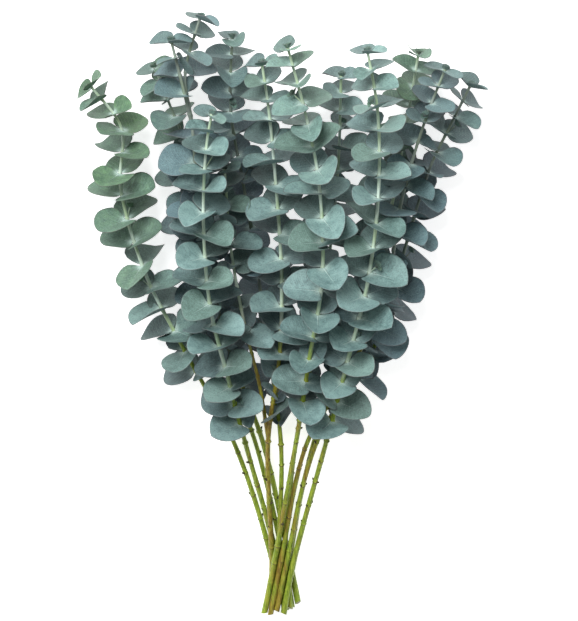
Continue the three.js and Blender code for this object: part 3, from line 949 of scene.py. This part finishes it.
class BunchSettings(bpy.types.PropertyGroup):
    """Thickness, curl and colours of the sprigs."""

    blade_thickness: bpy.props.FloatProperty(
        name="Blade thickness", description="Thickness of a leaf", default=0.00045, min=0.0002,
        max=0.0015, unit="LENGTH")
    blade_curl: bpy.props.FloatProperty(
        name="Blade curl", description="How strongly leaves fold, cup and wave", default=1.0, min=0,
        max=2, subtype="FACTOR")
    leaf_light: colour_property("Leaf bloom", "Leaf where its waxy bloom is thick", (140, 173, 168))
    leaf_deep: colour_property("Leaf deep", "Leaf where its bloom is thin", (84, 116, 114))
    leaf_grey_green: colour_property("Leaf grey-green", "Greener cast of some leaves", (116, 142, 120))
    leaf_blue: colour_property("Leaf blue", "Bluer, darker cast of some sprigs", (94, 122, 138))
    leaf_young: colour_property("Young leaf", "Leaf near a green tip", (106, 148, 84))
    # Also the painted shade on young leaves.
    leaf_young_deep: colour_property("Young leaf deep", "Darker patches of a young leaf", (66, 104, 54))
    leaf_under: colour_property("Leaf underside", "The side that faces the cut end", (126, 148, 150))
    # Painted shade for sheltered blades, also used for the dark specks.
    leaf_inner: colour_property("Inner leaf", "Leaf that other leaves shade", (68, 72, 82))
    leaf_base: colour_property("Leaf base and veins", "Pale midrib and base", (196, 220, 212))
    leaf_rim: colour_property("Leaf rim", "Thin darker rim", (96, 88, 88))
    bark_green: colour_property("Bark green", "Young bare stem", (172, 190, 66))
    bark_green_deep: colour_property("Bark green deep", "Streaks in the young bare stem", (98, 126, 28))
    bark_olive: colour_property("Bark olive", "Older bare stem", (174, 162, 58))
    bark_brown: colour_property("Bark brown", "Brown streaks and specks", (120, 94, 36))
    bark_mint: colour_property("Stem bloom", "Waxy upper stem", (200, 216, 204))
    bark_mint_deep: colour_property("Stem bloom deep", "Thinner bloom on the upper stem", (164, 186, 150))
    bark_slate: colour_property("Stem slate", "Dark upper stem of the bluer sprigs", (84, 92, 88))
    bark_ring: colour_property("Node ring", "Ring left by a stripped leaf pair", (92, 74, 40))
    bark_scar: colour_property("Leaf scar", "Dried stub of a stripped leaf", (56, 46, 34))
    wood_pale: colour_property("Cut wood", "Wood at the cut end", (206, 208, 176))
    wood_deep: colour_property("Cut wood deep", "Grain at the cut end", (176, 176, 132))
    wood_pith: colour_property("Pith", "Middle of the cut end", (136, 128, 84))


class StageSettings(bpy.types.PropertyGroup):
    """The floor, the lamps and the camera."""

    floor_colour: colour_property("Floor", "Colour of the floor", (250, 250, 250))
    floor_glow: bpy.props.FloatProperty(
        name="Floor glow", description="Light from within the floor, which softens its shadows",
        default=0.7, min=0)
    floor_size: bpy.props.FloatProperty(
        name="Floor size", description="Side of the square floor", default=40.0, min=1, unit="LENGTH")
    sky_strength: bpy.props.FloatProperty(
        name="Sky strength", description="Light from all round", default=0.36, min=0)
    key_power: bpy.props.FloatProperty(
        name="Main lamp power", description="Power of the large soft lamp", default=146.0, min=0,
        unit="POWER")
    key_size: bpy.props.FloatProperty(
        name="Main lamp size", description="Side of the large soft lamp", default=1.7, min=0.1,
        unit="LENGTH")
    key_place: bpy.props.FloatVectorProperty(
        name="Main lamp place", description="Where the large soft lamp hangs", size=3,
        default=(-0.9, 2.3, 2.4), subtype="TRANSLATION", unit="LENGTH")
    camera_tilt: bpy.props.FloatProperty(
        name="Camera tilt", description="How far the camera leans from straight above towards the tips",
        default=math.radians(22), min=0, max=math.pi / 2, subtype="ANGLE")
    camera_lens: bpy.props.FloatProperty(
        name="Lens", description="Focal length", default=180.0, min=20, max=400)
    camera_height: bpy.props.FloatProperty(
        name="Framed height", description="Height of the framed field at the bunch", default=0.621,
        min=0.1, unit="LENGTH")
    aim: bpy.props.FloatVectorProperty(
        name="Aim", description="The point that the camera looks at", size=3,
        default=(0.0069, 0.0261, 0.0495), subtype="TRANSLATION", unit="LENGTH")


# ---------------------------------------------------------------- operators

class EUCALYPTUS_OT_stage(bpy.types.Operator):
    """Lay the pale floor, hang the lamps and set the camera"""

    bl_idname = "eucalyptus.stage"
    bl_label = "Lay the stage"

    def execute(self, context):
        settings = context.scene.eucalyptus_stage
        self.lay_floor(context, settings)
        self.light(context, settings)
        self.set_camera(context, settings)
        return {"FINISHED"}

    def lay_floor(self, context, settings):
        half = settings.floor_size / 2
        mesh = bpy.data.meshes.new("floor")
        corners = [(-half, -half, 0), (half, -half, 0), (half, half, 0), (-half, half, 0)]
        mesh.from_pydata(corners, [], [(0, 1, 2, 3)])
        mesh.materials.append(stage_floor(settings))
        floor = bpy.data.objects.new("floor", mesh)
        context.scene.collection.objects.link(floor)

    def light(self, context, settings):
        world = bpy.data.worlds.new("soft_sky")
        world.use_nodes = True
        sky = world.node_tree.nodes["Background"]
        sky.inputs["Color"].default_value = (1, 1, 1, 1)
        sky.inputs["Strength"].default_value = settings.sky_strength
        context.scene.world = world
        lamp = bpy.data.lights.new("main_lamp", "AREA")
        lamp.energy, lamp.size = settings.key_power, settings.key_size
        held = bpy.data.objects.new("main_lamp", lamp)
        held.location = settings.key_place
        held.rotation_euler = Vector(held.location).to_track_quat("Z", "Y").to_euler()
        context.scene.collection.objects.link(held)
        context.scene.view_settings.view_transform = "Standard"

    def set_camera(self, context, settings):
        data = bpy.data.cameras.new("camera")
        data.lens = settings.camera_lens
        back = Vector((0, math.sin(settings.camera_tilt), math.cos(settings.camera_tilt)))
        distance = settings.camera_height * data.lens / data.sensor_width
        camera = bpy.data.objects.new("camera", data)
        camera.location = Vector(settings.aim) + back * distance
        camera.rotation_euler = (-settings.camera_tilt, 0, 0)
        data.clip_end = settings.floor_size * 2.5
        context.scene.collection.objects.link(camera)
        context.scene.camera = camera


class EUCALYPTUS_OT_leaves(bpy.types.Operator):
    """Grow every sprig's leaves and buds"""

    bl_idname = "eucalyptus.leaves"
    bl_label = "Grow the leaves"

    def execute(self, context):
        for sprig in SPRIGS:
            piece = leaves_of(sprig["name"], context.scene.eucalyptus_bunch)
            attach(piece, "root")
            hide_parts(sprig["name"])
        return {"FINISHED"}


class EUCALYPTUS_OT_stems(bpy.types.Operator):
    """Grow every sprig's stem, with its twigs, leaf scars and cut end"""

    bl_idname = "eucalyptus.stems"
    bl_label = "Grow the stems"

    def execute(self, context):
        for sprig in SPRIGS:
            piece = stems_of(sprig["name"], context.scene.eucalyptus_bunch)
            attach(piece, "root")
            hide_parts(sprig["name"])
        return {"FINISHED"}


class EUCALYPTUS_PT_panel(bpy.types.Panel):
    """Sizes, colours and steps of the bunch"""

    bl_idname = "EUCALYPTUS_PT_panel"
    bl_label = "Eucalyptus bunch"
    bl_space_type = "VIEW_3D"
    bl_region_type = "UI"
    bl_category = "Eucalyptus"

    def draw(self, context):
        for settings in (context.scene.eucalyptus_bunch, context.scene.eucalyptus_stage):
            box = self.layout.box()
            for name in settings.__annotations__:
                box.prop(settings, name)
        for step in STEPS:
            self.layout.operator(step.bl_idname)


STEPS = (EUCALYPTUS_OT_stage, EUCALYPTUS_OT_leaves, EUCALYPTUS_OT_stems)
CLASSES = (BunchSettings, StageSettings, *STEPS, EUCALYPTUS_PT_panel)


def register():
    for cls in CLASSES:
        bpy.utils.register_class(cls)
    bpy.types.Scene.eucalyptus_bunch = bpy.props.PointerProperty(type=BunchSettings)
    bpy.types.Scene.eucalyptus_stage = bpy.props.PointerProperty(type=StageSettings)


def unregister():
    del bpy.types.Scene.eucalyptus_stage
    del bpy.types.Scene.eucalyptus_bunch
    for cls in reversed(CLASSES):
        bpy.utils.unregister_class(cls)


def main():
    register()
    bpy.ops.eucalyptus.stage()
    bpy.ops.eucalyptus.leaves()
    bpy.ops.eucalyptus.stems()


if __name__ == "__main__":
    main()
